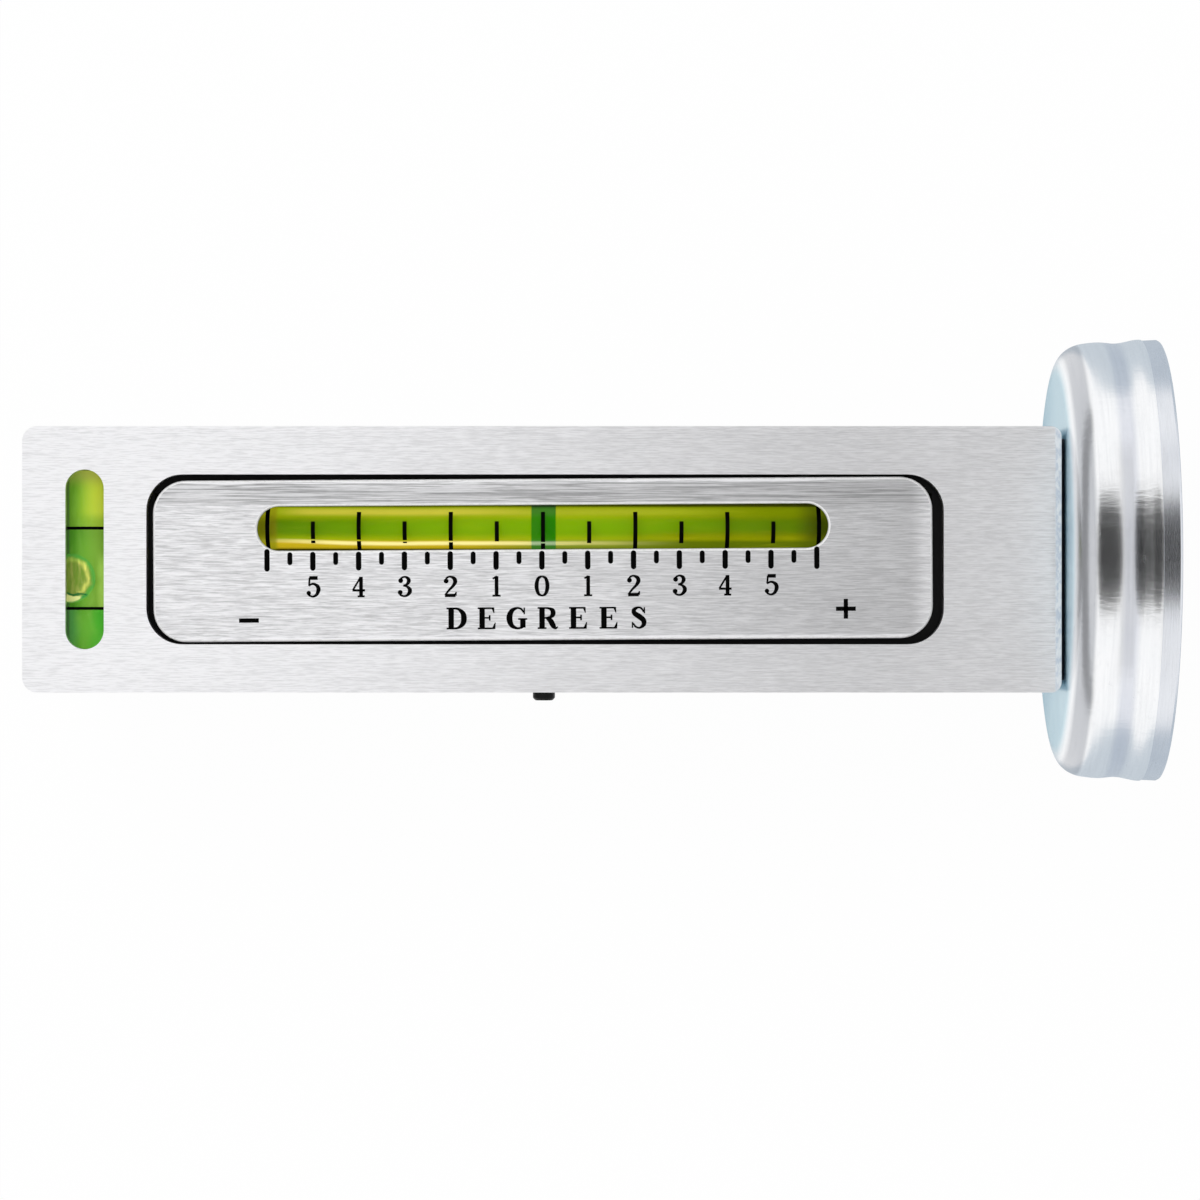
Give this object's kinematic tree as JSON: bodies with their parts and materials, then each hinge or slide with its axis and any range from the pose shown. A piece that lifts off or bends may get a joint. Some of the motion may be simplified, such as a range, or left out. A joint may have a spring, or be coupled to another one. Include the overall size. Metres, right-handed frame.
{
  "type": "camber caster gauge",
  "caption": "Bar-shaped wheel alignment gauge on a round pot magnet, with a bowed main vial over a degree scale and a short cross vial.",
  "frame": {"origin": "centre of the magnet's contact face", "axes": "+X out of the contact face, +Z out of the scale face, +Y across the scale face, away from the pivot pin's free end"},
  "size_m": [0.1525, 0.06, 0.06],
  "materials": {
    "housing": "brushed along the bar",
    "rear_cover": "brushed along the bar",
    "cover_screws": "black-nickel plated",
    "scale_plate": "brushed, black printed scale",
    "vial_carrier": "moulded, fine grain",
    "reflector_card": "matt white-yellow card",
    "main_vial_tube": "clear polished acrylic",
    "main_vial_plugs": "tinted acrylic",
    "main_vial_fluid": "clear green liquid",
    "main_bubble": "clear",
    "pivot_pin": "black oxide",
    "pivot_bushes": "turned",
    "zero_screw": "black-nickel plated",
    "zero_insert": "knurled",
    "zero_spring": "drawn wire",
    "spring_seat": "stamped",
    "cross_vial_tube": "clear polished acrylic",
    "cross_vial_plugs": "tinted acrylic",
    "cross_vial_fluid": "clear green liquid",
    "cross_bubble": "clear",
    "cross_reflector": "matt white liner",
    "cross_holder": "moulded",
    "cross_pad": "foam rubber",
    "magnet_cup": "bright zinc plated, ground rim",
    "ferrite_ring": "sintered ferrite",
    "pole_bush": "bright zinc plated",
    "potting_rings": "cast resin",
    "magnet_screw": "black oxide",
    "lock_washer": "zinc plated",
    "end_spacer": "dark fibre"
  },
  "bodies": {
    "gauge_body": {"housing": "housing", "rear_cover": "rear_cover", "cover_screws": "cover_screws", "pivot_pin": "pivot_pin", "zero_spring": "zero_spring", "spring_seat": "spring_seat", "cross_vial_tube": "cross_vial_tube", "cross_vial_plugs": "cross_vial_plugs", "cross_vial_fluid": "cross_vial_fluid", "cross_reflector": "cross_reflector", "cross_holder": "cross_holder", "cross_pad": "cross_pad", "magnet_cup": "magnet_cup", "ferrite_ring": "ferrite_ring", "pole_bush": "pole_bush", "potting_rings": "potting_rings", "magnet_screw": "magnet_screw", "lock_washer": "lock_washer", "end_spacer": "end_spacer"},
    "carrier": {"vial_carrier": "vial_carrier", "scale_plate": "scale_plate", "reflector_card": "reflector_card", "main_vial_tube": "main_vial_tube", "main_vial_plugs": "main_vial_plugs", "main_vial_fluid": "main_vial_fluid", "pivot_bushes": "pivot_bushes", "zero_insert": "zero_insert"},
    "zero_screw": {"zero_screw": "zero_screw"},
    "main_bubble": {"main_bubble": "main_bubble"},
    "cross_bubble": {"cross_bubble": "cross_bubble"}
  },
  "joints": [
    {"name": "zero_screw_turn", "type": "hinge", "parent": "gauge_body", "child": "zero_screw", "pos_m": [-0.0413, -0.0062, -0.013], "axis": [0, 0, 1], "range_deg": [-370, 370]},
    {"name": "carrier_tilt", "type": "hinge", "parent": "gauge_body", "child": "carrier", "pos_m": [-0.0833, 0, 0.0023], "axis": [0, 1, 0], "range_deg": [-0.7, 0.7], "deforming": ["zero_spring"]},
    {"name": "main_bubble_travel", "type": "hinge", "parent": "carrier", "child": "main_bubble", "pos_m": [-0.0833, 0.0043, -0.33995], "axis": [0, 1, 0], "range_deg": [0, 14.12]},
    {"name": "cross_bubble_travel", "type": "hinge", "parent": "gauge_body", "child": "cross_bubble", "pos_m": [0.0522, 0, 0.00865], "axis": [0, 0, 1], "range_deg": [-3.1, 1.6]}
  ],
  "couplings": [
    {"joint": "zero_screw_turn", "follows": "carrier_tilt", "ratio": 527.79}
  ]
}
